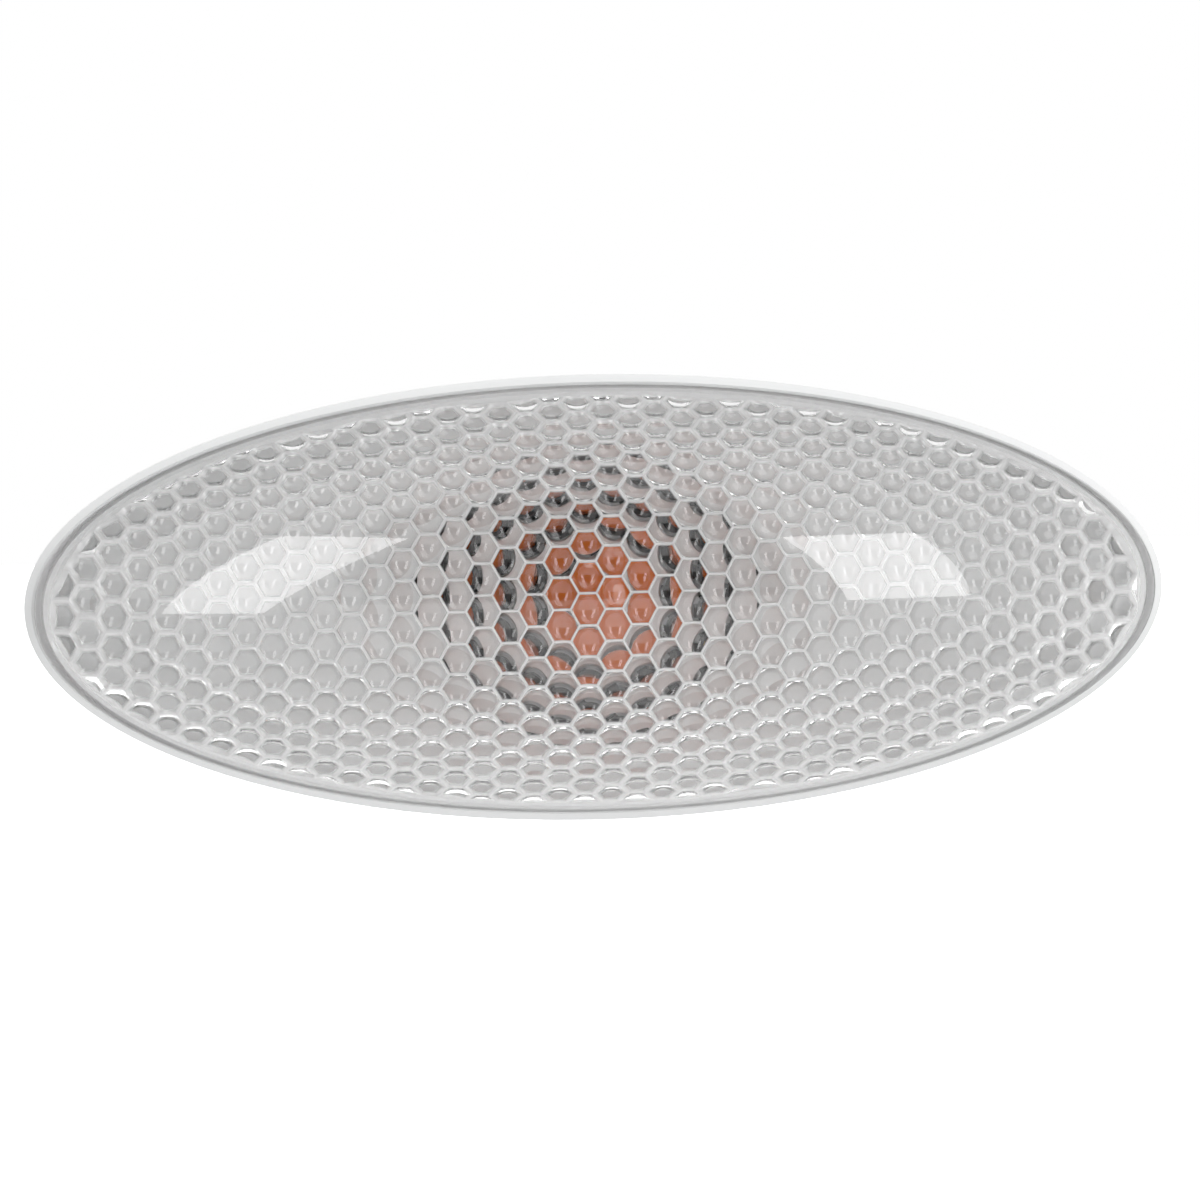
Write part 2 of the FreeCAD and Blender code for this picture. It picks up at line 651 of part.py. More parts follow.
def make_contact(label, side):
    """Bent strip: spring finger on a bulb lead, crank under the wedge, blade in the socket."""
    body = doc.addObject("PartDesign::Body", label + "_body")
    touch = "contact_offset"
    back = "slot_half_height - contact_thickness"
    tip = "wedge_top - contact_thickness"
    bump = "wedge_end + lead_fold / 2"
    crank = "slot_floor + contact_thickness"
    half = "contact_thickness / 2"
    rise = "1.5 * contact_thickness"
    path = [
        (half, "web_back - blade_length"), (half, crank),
        ("%s + contact_thickness" % back, crank),
        ("%s + contact_thickness" % back, "%s - %s" % (bump, rise)),
        ("%s + contact_thickness" % touch, bump),
        ("%s + contact_thickness" % back, "%s + %s" % (bump, rise)),
        ("%s + contact_thickness" % back, tip), (back, tip),
        (back, "%s + %s" % (bump, rise)), (touch, bump), (back, "%s - %s" % (bump, rise)),
        (back, "%s + contact_thickness" % crank), ("-" + half, "%s + contact_thickness" % crank),
        ("-" + half, "web_back - blade_length")]
    flip = "" if side > 0 else "-"
    corners = [("%s(%s)" % (flip, across), height) for across, height in path]
    centre = "%scontact_spacing / 2" % ("-" if side > 0 else "")
    section = draw_polygon(sketch_on(body, label + "_section", "YZ_Plane", centre), corners)
    pad(body, label + "_strip", section, "contact_width", both_ways=True)
    finish(label, body)


def bulb_form(name, shrink, bottom):
    """Round-ended bulb form, smaller by an even wall, closed by a cone at the foot."""
    radius = "bulb_radius - %s" % shrink
    shoulder = "wedge_top + bulb_radius / 2"
    barrel = primitive("Cylinder", name + "_barrel", z=shoulder, Radius=radius,
                       Height="bulb_tip - bulb_radius - (%s)" % shoulder)
    dome = primitive("Sphere", name + "_dome", z="bulb_tip - bulb_radius", Radius=radius)
    foot = primitive("Cone", name + "_foot", z=bottom, Radius2=radius,
                     Radius1="(%s) * bulb_foot_share" % radius,
                     Height="%s - (%s)" % (shoulder, bottom))
    return joined(name, [barrel, dome, foot])


def make_lead(label, side):
    """Lead wire: down through the wedge, round its end and up one face."""
    across = "(wedge_thickness / 2 + lead_radius)"
    flip = "" if side > 0 else "-"
    centre = "%scontact_spacing / 2" % ("-" if side > 0 else "")
    stem = primitive("Cylinder", label + "_stem", centre, "0", "wedge_end", Radius="lead_radius",
                     Height="filament_level + filament_radius - wedge_end")
    fold = primitive("Cylinder", label + "_fold", centre, flip + across, "wedge_end",
                     Radius="lead_radius", Height="lead_fold")
    bend = primitive("Torus", label + "_bend", centre, "%s%s / 2" % (flip, across), "wedge_end",
                     Radius1=across + " / 2", Radius2="lead_radius")
    bend.Angle3 = 180
    bend.Placement.Rotation = FreeCAD.Rotation(Vector(0, 1, 0), Vector(0, 0, -1), Vector(-1, 0, 0))
    return joined(label + "_solid", [stem, fold, bend])


def make_bulb():
    """Amber wedge bulb: pressed glass, two leads and the filament between them."""
    leads = [make_lead("bulb_lead_left", 1), make_lead("bulb_lead_right", -1)]
    wedge = primitive("Box", "wedge", "-wedge_width / 2", "-wedge_thickness / 2", "wedge_end",
                      Length="wedge_width", Width="wedge_thickness",
                      Height="wedge_length + bulb_radius / 2")
    skin = bulb_form("bulb_skin", "0", "wedge_top")
    hollow = bulb_form("bulb_hollow", "bulb_wall", "wedge_top + 2 * bulb_wall")
    clear = cut("bulb_shell", joined("bulb_blank", [skin, wedge]), hollow)
    wires = joined("both_leads", leads)
    finish("bulb_glass", cut("bulb_glass_solid", clear, wires))
    coil = primitive("Cylinder", "coil", "-contact_spacing / 2", "0", "filament_level",
                     Radius="filament_radius", Height="contact_spacing")
    coil.Placement.Rotation = FreeCAD.Rotation(Vector(0, 1, 0), 90)
    finish("bulb_filament", cut("filament_solid", coil, wires))
    for label, lead in zip(("bulb_lead_left", "bulb_lead_right"), leads):
        copy = doc.addObject("Part::Refine", label + "_wire")
        copy.Source = lead
        finish(label, copy)


def check_and_write():
    """Stop on any failed object or bad shape, then write one file for each sub-part."""
    doc.recompute()
    failed = [thing.Name for thing in doc.Objects if {"Invalid", "Error"} & set(thing.State)]
    for label, thing in PIECES.items():
        shape = thing.Shape
        if shape.isNull() or not shape.isValid() or len(shape.Solids) != 1:
            failed.append(label)
    if failed:
        raise ValueError("not built: " + ", ".join(failed))
    os.makedirs("parts", exist_ok=True)
    for label, thing in PIECES.items():
        thing.Shape.exportStep("parts/%s.step" % label)


make_lens()
make_housing()
make_gasket()
make_bulb_holder()
make_holder_seal()
make_contact("contact_left", 1)
make_contact("contact_right", -1)
make_bulb()
check_and_write()
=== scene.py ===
"""Oval side indicator lamp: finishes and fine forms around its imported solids."""
import math

import bmesh
import bpy
from mathutils import Matrix, Vector


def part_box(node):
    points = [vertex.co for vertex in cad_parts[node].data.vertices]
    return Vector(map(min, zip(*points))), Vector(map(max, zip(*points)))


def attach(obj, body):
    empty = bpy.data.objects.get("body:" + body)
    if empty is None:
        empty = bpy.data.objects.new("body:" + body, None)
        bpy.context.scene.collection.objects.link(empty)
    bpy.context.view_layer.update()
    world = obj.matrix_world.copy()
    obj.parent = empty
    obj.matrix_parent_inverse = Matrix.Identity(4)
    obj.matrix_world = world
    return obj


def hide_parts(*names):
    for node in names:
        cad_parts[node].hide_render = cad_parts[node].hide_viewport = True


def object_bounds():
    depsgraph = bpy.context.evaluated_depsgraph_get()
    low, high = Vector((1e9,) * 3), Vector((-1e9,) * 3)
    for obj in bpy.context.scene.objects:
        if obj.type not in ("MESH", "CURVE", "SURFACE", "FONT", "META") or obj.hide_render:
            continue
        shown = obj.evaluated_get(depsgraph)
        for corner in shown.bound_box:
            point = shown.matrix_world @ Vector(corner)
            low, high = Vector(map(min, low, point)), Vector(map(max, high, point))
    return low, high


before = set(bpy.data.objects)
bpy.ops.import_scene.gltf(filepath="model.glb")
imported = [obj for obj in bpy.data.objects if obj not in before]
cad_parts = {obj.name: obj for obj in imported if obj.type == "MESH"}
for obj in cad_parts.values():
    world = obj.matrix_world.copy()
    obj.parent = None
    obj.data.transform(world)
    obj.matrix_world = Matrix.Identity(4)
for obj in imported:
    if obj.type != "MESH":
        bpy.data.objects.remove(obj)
CAD_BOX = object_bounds()

bl_info = {
    "name": "Side Indicator Lamp",
    "version": (1, 0, 0),
    "blender": (4, 5, 0),
    "location": "3D View > Sidebar > Lamp",
    "description": "Builds the visual pieces, finishes and studio of a side indicator lamp",
    "category": "Object",
}

MM = 0.001
LENS_LOW, LENS_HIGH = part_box("lens")
FILAMENT_LOW, FILAMENT_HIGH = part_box("bulb_filament")

# Vertex layers of the lens that its finish reads.
VALLEY = "valley"
FROST_START = "frost_start"

# Corners of neighbouring pillows nearer than this are one vertex.
MERGE_GAP = 0.002 * MM
# Digits of a metre that tell the places of two vertices apart.
PLACE_DIGITS = 7

CLIP_START = 10.0 * MM

# Name, azimuth, elevation and lean in degrees, width and height in metres.
SOFTBOXES = (
    ("softbox_left", -29.0, 15.5, -16.0, 0.26, 0.79),
    ("softbox_right", 30.5, 9.0, 5.0, 0.25, 0.75),
)
KEY_LIGHT = ("key_top", 40.0, 50.0, 0.0, 0.8, 0.8)


class LampLensSettings(bpy.types.PropertyGroup):
    """Form of the clear lens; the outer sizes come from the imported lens."""

    half_length: bpy.props.FloatProperty(
        name="Half length", description="Half length of the lens edge",
        default=LENS_HIGH.x, unit="LENGTH")
    half_height: bpy.props.FloatProperty(
        name="Half height", description="Half height of the lens edge",
        default=LENS_HIGH.z, unit="LENGTH")
    crown: bpy.props.FloatProperty(
        name="Crown", description="Height of the dome's crown in front of the panel",
        default=-LENS_LOW.y, unit="LENGTH")
    tongue_end: bpy.props.FloatProperty(
        name="Tongue end", description="Height of the bonding tongue's end in front of the panel",
        default=-LENS_HIGH.y, unit="LENGTH")
    tongue_depth: bpy.props.FloatProperty(
        name="Tongue depth", description="Depth of the tongue below the lens seat",
        default=0.8 * MM, unit="LENGTH")
    tongue_width: bpy.props.FloatProperty(
        name="Tongue width", description="Width of the bonding tongue",
        default=0.7 * MM, unit="LENGTH")
    edge_height: bpy.props.FloatProperty(
        name="Edge height", description="Straight edge of the lens above its seat",
        default=1.1 * MM, unit="LENGTH")
    fullness: bpy.props.FloatProperty(
        name="Dome fullness", description="Part of the outer ellipsoid that the dome uses",
        default=0.90, subtype="FACTOR")
    wall: bpy.props.FloatProperty(
        name="Wall", description="Lens thickness at the crown of the middle pillow",
        default=2.2 * MM, unit="LENGTH")
    rim_width: bpy.props.FloatProperty(
        name="Rim width", description="Solid rim between the lens edge and the optics",
        default=1.6 * MM, unit="LENGTH")
    optic_fullness: bpy.props.FloatProperty(
        name="Optic fullness", description="Part of the inner ellipsoid that the optics use",
        default=0.8875, subtype="FACTOR")
    optic_land: bpy.props.FloatProperty(
        name="Optic land", description="Height of the optics' edge above the lens seat",
        default=0.35 * MM, unit="LENGTH")
    pillow_radius: bpy.props.FloatProperty(
        name="Pillow radius", description="Crown radius of one pillow",
        default=2.5 * MM, unit="LENGTH")
    column_pitch: bpy.props.FloatProperty(
        name="Column pitch", description="Pillow columns, pitch along the lamp",
        default=2.017 * MM, unit="LENGTH")
    row_pitch: bpy.props.FloatProperty(
        name="Row pitch", description="Pillows of one column, pitch at the middle",
        default=2.375 * MM, unit="LENGTH")
    row_crowding: bpy.props.FloatProperty(
        name="Row crowding",
        description="Distance over which the rows crowd towards the long edges",
        default=11.58 * MM, unit="LENGTH")
    shift_x: bpy.props.FloatProperty(
        name="Lattice shift along", description="Place of the middle column",
        default=-1.36 * MM, unit="LENGTH")
    shift_y: bpy.props.FloatProperty(
        name="Lattice shift up", description="Place of the middle row",
        default=-0.31 * MM, unit="LENGTH")
    bond_gap: bpy.props.FloatProperty(
        name="Bond gap", description="Lens base above the flange, which keeps the two faces apart",
        default=0.03 * MM, unit="LENGTH")
    frost_middle: bpy.props.FloatProperty(
        name="Frost start, middle",
        description="Part of a middle pillow from which its border turns frosted",
        default=0.89, subtype="FACTOR")
    frost_end: bpy.props.FloatProperty(
        name="Frost start, edge",
        description="Part of an edge pillow from which its border turns frosted",
        default=0.48, subtype="FACTOR")
    frost_full: bpy.props.FloatProperty(
        name="Frost full", description="Part of any pillow from which its border is fully frosted",
        default=0.96, subtype="FACTOR")
    pillow_steps: bpy.props.IntProperty(
        name="Pillow steps", description="Divisions from a pillow's crown to its border",
        default=6, min=1)
    dome_rings: bpy.props.IntProperty(
        name="Dome rings", description="Divisions from the dome's crown to its edge",
        default=64, min=3)
    dome_spokes: bpy.props.IntProperty(
        name="Dome spokes", description="Divisions round the dome",
        default=256, min=12)


class LampFilamentSettings(bpy.types.PropertyGroup):
    """Coil of the filament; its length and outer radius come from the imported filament."""

    turns: bpy.props.IntProperty(
        name="Turns", description="Turns of the coil between the leads", default=24, min=1)
    wire: bpy.props.FloatProperty(
        name="Wire", description="Radius of the filament wire", default=0.05 * MM, unit="LENGTH")
    turn_steps: bpy.props.IntProperty(
        name="Turn steps", description="Divisions of one turn", default=16, min=6)
    wire_sides: bpy.props.IntProperty(
        name="Wire sides", description="Divisions round the wire", default=6, min=3)


class LampFinishSettings(bpy.types.PropertyGroup):
    """Colours of the finishes, as sRGB hex values."""

    lens_hex: bpy.props.StringProperty(
        name="Lens", description="Tint of the clear lens", default="F9F9F9")
    lens_flow_hex: bpy.props.StringProperty(
        name="Lens flow", description="Tint of the lens where it is least hazy", default="F5F5F5")
    housing_hex: bpy.props.StringProperty(
        name="Housing", description="White housing plastic", default="EEEFEF")
    amber_hex: bpy.props.StringProperty(
        name="Amber", description="Lacquer of the bulb", default="E26A04")
    holder_hex: bpy.props.StringProperty(
        name="Holder", description="Black holder plastic", default="1C1C1E")
    foam_hex: bpy.props.StringProperty(
        name="Foam", description="Gasket foam", default="2A2A2B")
    seal_hex: bpy.props.StringProperty(
        name="Seal", description="Holder seal rubber", default="303032")
    brass_hex: bpy.props.StringProperty(
        name="Brass", description="Contact strips", default="C9A55A")
    nickel_hex: bpy.props.StringProperty(
        name="Nickel", description="Lead wires of the bulb", default="B8B4AC")
    tungsten_hex: bpy.props.StringProperty(
        name="Tungsten", description="Filament wire", default="6E6E72")
    paper_hex: bpy.props.StringProperty(
        name="Paper", description="Floor paper", default="FFFFFF")
    fibre_hex: bpy.props.StringProperty(
        name="Paper fibre", description="Darker fibres of the floor paper", default="FAFAFA")
    card_hex: bpy.props.StringProperty(
        name="Card", description="Felt of the dark card", default="2C2C2C")


class LampStageSettings(bpy.types.PropertyGroup):
    """Camera, floor, dark card and lights."""

    azimuth: bpy.props.FloatProperty(
        name="Azimuth", description="Camera's turn to the lamp's right",
        default=math.radians(-4.0), subtype="ANGLE")
    elevation: bpy.props.FloatProperty(
        name="Elevation", description="Camera's rise above the lamp's axis",
        default=math.radians(3.0), subtype="ANGLE")
    roll: bpy.props.FloatProperty(
        name="Roll", description="Camera's roll, which lifts the lamp's right end",
        default=math.radians(1.215), subtype="ANGLE")
    distance: bpy.props.FloatProperty(
        name="Distance", description="Camera to the lamp", default=0.75, unit="LENGTH")
    frame_width: bpy.props.FloatProperty(
        name="Frame width", description="Width that the frame shows at the lamp",
        default=95.0 * MM, unit="LENGTH")
    aim_right: bpy.props.FloatProperty(
        name="Aim right", description="Frame centre right of the lamp's centre",
        default=0.54 * MM, unit="LENGTH")
    aim_down: bpy.props.FloatProperty(
        name="Aim down", description="Frame centre below the lamp's centre",
        default=0.35 * MM, unit="LENGTH")
    floor_drop: bpy.props.FloatProperty(
        name="Floor drop", description="Floor below the lamp",
        default=50.0 * MM, unit="LENGTH")
    floor_half: bpy.props.FloatProperty(
        name="Floor half width", description="Half width of the floor", default=1.5, unit="LENGTH")
    floor_glow: bpy.props.FloatProperty(
        name="Floor glow", default=0.9,
        description="Light table's glow where it is seen, plain or through the lens")
    fill: bpy.props.FloatProperty(
        name="Fill", default=0.75,
        description="Strength of the studio's white as light on dull faces")
    softbox_power: bpy.props.FloatProperty(
        name="Softbox power", description="Power of each mirrored softbox",
        default=3.0, unit="POWER")
    key_power: bpy.props.FloatProperty(
        name="Key power", description="Power of the key light", default=5.0, unit="POWER")
    card_distance: bpy.props.FloatProperty(
        name="Card distance", description="Dark card behind the camera to the lamp",
        default=1.3, unit="LENGTH")
    card_width: bpy.props.FloatProperty(
        name="Card width", description="Width of the dark card", default=0.9, unit="LENGTH")
    card_height: bpy.props.FloatProperty(
        name="Card height", description="Height of the dark card", default=1.6, unit="LENGTH")


def settings(name):
    """One of the add-on's property groups on the scene."""
    return getattr(bpy.context.scene, "lamp_" + name)


def linear(text):
    """Linear colour of an sRGB hex value."""
    channels = [int(text[at:at + 2], 16) / 255 for at in (0, 2, 4)]
    curve = [c / 12.92 if c <= 0.04045 else ((c + 0.055) / 1.055) ** 2.4 for c in channels]
    return (*curve, 1.0)


def shaded(colour, share):
    """Colour darkened to a share of its light."""
    return (*[c * share for c in colour[:3]], 1.0)


def add_node(tree, kind, values=None, links=None, **fields):
    """Add a node, set its fields and sockets, and link its inputs."""
    node = tree.nodes.new(kind)
    for field, value in fields.items():
        setattr(node, field, value)
    for socket, value in (values or {}).items():
        node.inputs[socket].default_value = value
    for socket, source in (links or {}).items():
        tree.links.new(source, node.inputs[socket])
    return node


def new_material(name):
    """Empty node material, its node tree and its object coordinates."""
    material = bpy.data.materials.new(name)
    material.use_nodes = True
    tree = material.node_tree
    tree.nodes.clear()
    place = add_node(tree, "ShaderNodeTexCoord").outputs["Object"]
    return material, tree, place


def per_metre(size_mm):
    """Texture scale that gives features of a real size."""
    return 1.0 / (size_mm * MM)


def polycarbonate():
    """Clear polycarbonate, injection moulded: polished faces bend light sharply, with faint haze.

    The eroded valleys between the tool's pillow pins leave frosted borders that glow white.
    """
    finish = settings("finish")
    flow_mm = 9.0
    material, tree, place = new_material("polycarbonate_clear_moulded")
    valley = add_node(tree, "ShaderNodeAttribute", attribute_name=VALLEY)
    start = add_node(tree, "ShaderNodeAttribute", attribute_name=FROST_START)
    frost = add_node(tree, "ShaderNodeMapRange", {"From Max": settings("lens").frost_full},
                     {"Value": valley.outputs["Fac"], "From Min": start.outputs["Fac"]},
                     interpolation_type="SMOOTHSTEP")
    clear = add_node(tree, "ShaderNodeMapRange", {"To Min": 1.0, "To Max": 0.0},
                     {"Value": frost.outputs["Result"]})
    flow = add_node(tree, "ShaderNodeTexNoise", {"Scale": per_metre(flow_mm), "Detail": 3.0},
                    {"Vector": place})
    haze = add_node(tree, "ShaderNodeMapRange", {"To Min": 0.0, "To Max": 0.03},
                    {"Value": flow.outputs["Fac"]})
    tint = add_node(tree, "ShaderNodeValToRGB", links={"Fac": flow.outputs["Fac"]})
    tint.color_ramp.elements[0].color = linear(finish.lens_flow_hex)
    tint.color_ramp.elements[1].color = linear(finish.lens_hex)
    shader = add_node(tree, "ShaderNodeBsdfPrincipled", {"IOR": 1.585},
                      {"Base Color": tint.outputs["Color"], "Roughness": haze.outputs["Result"],
                       "Transmission Weight": clear.outputs["Result"]})
    add_node(tree, "ShaderNodeOutputMaterial", links={"Surface": shader.outputs["BSDF"]})
    return material


def moulded_plastic(name, hex_value, shade, grain_mm, rough, depth_mm):
    """Injection-moulded plastic: even colour with faint cloud, spark-eroded satin grain.

    The real grain is finer than a pixel, so it is drawn coarse enough to show.
    """
    cloud_mm = 14.0
    spread = 0.06
    material, tree, place = new_material(name)
    cloud = add_node(tree, "ShaderNodeTexNoise", {"Scale": per_metre(cloud_mm), "Detail": 4.0},
                     {"Vector": place})
    grain = add_node(tree, "ShaderNodeTexNoise", {"Scale": per_metre(grain_mm), "Detail": 6.0},
                     {"Vector": place})
    base = linear(hex_value)
    colour = add_node(tree, "ShaderNodeValToRGB", links={"Fac": cloud.outputs["Fac"]})
    colour.color_ramp.elements[0].color = shaded(base, shade)
    colour.color_ramp.elements[1].color = base
    gloss = add_node(tree, "ShaderNodeMapRange",
                     {"To Min": rough - spread, "To Max": rough + spread},
                     {"Value": grain.outputs["Fac"]})
    bump = add_node(tree, "ShaderNodeBump", {"Strength": 0.4, "Distance": depth_mm * MM},
                    {"Height": grain.outputs["Fac"]})
    shader = add_node(tree, "ShaderNodeBsdfPrincipled", {"IOR": 1.53},
                      {"Base Color": colour.outputs["Color"], "Roughness": gloss.outputs["Result"],
                       "Normal": bump.outputs["Normal"]})
    add_node(tree, "ShaderNodeOutputMaterial", links={"Surface": shader.outputs["BSDF"]})
    return material


def porous_skin(name, hex_value, cell_mm, depth_mm):
    """Cut foam, moulded rubber or pressed felt: dull and dark, with small pits at the skin in
    painted shade.
    """
    pit_painted_shade = 0.55
    material, tree, place = new_material(name)
    cells = add_node(tree, "ShaderNodeTexVoronoi", {"Scale": per_metre(cell_mm)}, {"Vector": place})
    base = linear(hex_value)
    colour = add_node(tree, "ShaderNodeValToRGB", links={"Fac": cells.outputs["Distance"]})
    # Painted shade: the pits, where the bump is lowest, are painted darker.
    colour.color_ramp.elements[0].color = shaded(base, pit_painted_shade)
    colour.color_ramp.elements[1].color = base
    bump = add_node(tree, "ShaderNodeBump", {"Strength": 0.6, "Distance": depth_mm * MM},
                    {"Height": cells.outputs["Distance"]})
    shader = add_node(tree, "ShaderNodeBsdfPrincipled", {"IOR": 1.5, "Roughness": 0.82},
                      {"Base Color": colour.outputs["Color"], "Normal": bump.outputs["Normal"]})
    add_node(tree, "ShaderNodeOutputMaterial", links={"Surface": shader.outputs["BSDF"]})
    return material


def amber_glass():
    """Blown soda glass dipped in amber lacquer: glossy, hardly see-through, deeper where it ran."""
    run_mm = 5.0
    run_shade = 0.8
    material, tree, place = new_material("soda_glass_amber_lacquered")
    runs = add_node(tree, "ShaderNodeTexNoise", {"Scale": per_metre(run_mm), "Detail": 3.0},
                    {"Vector": place})
    base = linear(settings("finish").amber_hex)
    colour = add_node(tree, "ShaderNodeValToRGB", links={"Fac": runs.outputs["Fac"]})
    colour.color_ramp.elements[0].color = shaded(base, run_shade)
    colour.color_ramp.elements[1].color = base
    gloss = add_node(tree, "ShaderNodeMapRange", {"To Min": 0.02, "To Max": 0.07},
                     {"Value": runs.outputs["Fac"]})
    shader = add_node(tree, "ShaderNodeBsdfPrincipled", {"IOR": 1.5, "Transmission Weight": 0.12},
                      {"Base Color": colour.outputs["Color"], "Roughness": gloss.outputs["Result"]})
    add_node(tree, "ShaderNodeOutputMaterial", links={"Surface": shader.outputs["BSDF"]})
    return material


def drawn_metal(name, hex_value, grain_mm, rough):
    """Drawn or rolled metal: fine streaks along the lamp's depth, soft broken highlights.

    The real streaks are finer than a pixel, so they are drawn as coarse as the piece allows.
    """
    pull = 0.08
    streak_shade = 0.72
    smoother, rougher = 0.08, 0.1
    material, tree, place = new_material(name)
    stretch = add_node(tree, "ShaderNodeMapping", {"Scale": (1.0, pull, 1.0)}, {"Vector": place})
    streaks = add_node(tree, "ShaderNodeTexNoise", {"Scale": per_metre(grain_mm), "Detail": 5.0},
                       {"Vector": stretch.outputs["Vector"]})
    base = linear(hex_value)
    colour = add_node(tree, "ShaderNodeValToRGB", links={"Fac": streaks.outputs["Fac"]})
    colour.color_ramp.elements[0].color = shaded(base, streak_shade)
    colour.color_ramp.elements[1].color = base
    gloss = add_node(tree, "ShaderNodeMapRange",
                     {"To Min": rough - smoother, "To Max": rough + rougher},
                     {"Value": streaks.outputs["Fac"]})
    shader = add_node(tree, "ShaderNodeBsdfPrincipled", {"Metallic": 1.0},
                      {"Base Color": colour.outputs["Color"], "Roughness": gloss.outputs["Result"]})
    add_node(tree, "ShaderNodeOutputMaterial", links={"Surface": shader.outputs["BSDF"]})
    return material


def dress(node, material):
    """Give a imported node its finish."""
    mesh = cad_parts[node].data
    mesh.materials.clear()
    mesh.materials.append(material)


def to_row(point):
    """Row-frame place, in metres, of a point given along the lamp, up and out of the panel."""
    return Vector((point[0], -point[2], point[1]))


class PillowOptics:
    """Inner face of the lens: hexagonal pillows laid on an ellipsoid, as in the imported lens."""

    # A corner nearer the oval edge than a row's pitch over this is moved onto it.
    snap_parts = 12
    # Halvings that find where a side of a pillow meets the oval edge.
    halvings = 40
    # Columns and rows laid past the oval edge before trimming.
    spare = 2
    # Least value under a root, for lattice places outside the ellipsoid.
    least = 0.01

    def __init__(self, form):
        self.seat = form.tongue_end + form.tongue_depth
        self.edge_x = form.half_length - form.rim_width
        self.edge_y = form.half_height - form.rim_width
        self.half_x = self.edge_x / form.optic_fullness
        self.half_y = self.edge_y / form.optic_fullness
        base = self.seat + form.optic_land
        rise = form.crown - form.wall - base
        self.half_z = rise / (1 - math.sqrt(1 - form.optic_fullness ** 2))
        self.centre_z = base + rise - self.half_z
        self.column, self.row = form.column_pitch, form.row_pitch
        self.crowding, self.radius = form.row_crowding, form.pillow_radius
        self.shift = Vector((form.shift_x, form.shift_y))
        # Stretch along the lamp that gives a pillow's six corners the same fall.
        self.evening = self.row * math.sqrt(3) / 2 / self.column
        self.snap = self.row / self.snap_parts

    def point(self, place, centre):
        """Point of the pillow face over a lattice place."""
        x = place.x
        left = 1 - (x / self.half_x) ** 2
        crowding = self.crowding * math.sqrt(max(left, self.least))
        y = crowding * math.asinh(place.y / crowding)
        z = self.half_z * math.sqrt(max(left - (y / self.half_y) ** 2, self.least))
        outward = Vector((x / self.half_x ** 2, y / self.half_y ** 2, z / self.half_z ** 2))
        outward.normalize()
        away = math.hypot((place.x - centre.x) * self.evening, place.y - centre.y)
        fall = self.radius - math.sqrt(self.radius ** 2 - away ** 2)
        return Vector((x, y, self.centre_z + z)) + outward * fall

    def inside(self, point):
        """Distance, about, to the oval edge of the optics; outside is negative."""
        return (1 - math.hypot(point.x / self.edge_x, point.y / self.edge_y)) * self.edge_y

    def on_edge(self, point):
        """Move a point level onto the oval edge of the optics."""
        reach = math.hypot(point.x / self.edge_x, point.y / self.edge_y)
        return Vector((point.x / reach, point.y / reach, point.z))

    def crossing(self, kept, lost, centre):
        """Lattice place where a side of a pillow meets the oval edge."""
        for _ in range(self.halvings):
            middle = (kept + lost) / 2
            if self.inside(self.point(middle, centre)) > 0:
                kept = middle
            else:
                lost = middle
        return kept

    def outline(self, centre):
        """Lattice corners of a pillow trimmed at the oval edge, each with whether it lies there."""
        near, far, half = self.column / 3, 2 * self.column / 3, self.row / 2
        steps = ((far, 0), (near, half), (-near, half), (-far, 0), (-near, -half), (near, -half))
        places = [centre + Vector(step) for step in steps]
        depths = [self.inside(self.point(place, centre)) for place in places]
        if max(depths) <= self.snap:
            return []
        trimmed = []
        for here in range(len(places)):
            after = (here + 1) % len(places)
            if depths[here] >= -self.snap:
                trimmed.append((places[here], depths[here] <= self.snap))
            if depths[here] > self.snap and depths[after] < -self.snap:
                trimmed.append((self.crossing(places[here], places[after], centre), True))
            elif depths[here] < -self.snap and depths[after] > self.snap:
                trimmed.append((self.crossing(places[after], places[here], centre), True))
        return trimmed

    def pillows(self):
        """Centre and trimmed outline of every pillow that the optics hold."""
        columns = int(self.edge_x / self.column) + self.spare
        rows = int(self.crowding * math.sinh(self.edge_y / self.crowding) / self.row) + self.spare
        for column in range(-columns, columns + 1):
            for row in range(-rows, rows + 1):
                raised = 0.5 * (column % 2)
                centre = self.shift + Vector((column * self.column, (row + raised) * self.row))
                if self.inside(self.point(centre, centre)) < -self.row:
                    continue
                outline = self.outline(centre)
                if len(outline) > 2:
                    yield centre, outline


def lay_pillow(mesh, optics, centre, outline, form, borders):
    """Add one pillow as a fan of finely divided sectors; borders collects its outer edges."""
    steps = form.pillow_steps
    valley, frost = mesh.verts.layers.float[VALLEY], mesh.verts.layers.float[FROST_START]
    count = len(outline)
    whole = not any(trimmed for _, trimmed in outline)
    hub = centre if whole else sum((place for place, _ in outline), Vector((0, 0))) / count
    for side in range(count):
        (start, start_cut), (end, end_cut) = outline[side], outline[(side + 1) % count]
        rows = []
        for ring in range(steps + 1):
            row = []
            for along in range(ring + 1):
                share = along / ring if ring else 0.0
                place = hub + (start.lerp(end, share) - hub) * (ring / steps)
                point = optics.point(place, centre)
                rim = ring == steps and ((start_cut and end_cut) or (along == 0 and start_cut)
                                         or (along == ring and end_cut))
                vert = mesh.verts.new(to_row(optics.on_edge(point) if rim else point))
                vert[valley] = ring / steps
                far = math.hypot(point.x / optics.edge_x, point.y / optics.edge_y)
                vert[frost] = form.frost_middle + (form.frost_end - form.frost_middle) * far ** 2
                row.append(vert)
            rows.append(row)
        for ring in range(1, steps + 1):
            for along in range(ring):
                mesh.faces.new((rows[ring][along], rows[ring][along + 1], rows[ring - 1][along]))
                if along:
                    mesh.faces.new((rows[ring][along], rows[ring - 1][along],
                                    rows[ring - 1][along - 1]))
        borders.extend(zip(rows[steps][:-1], rows[steps][1:]))


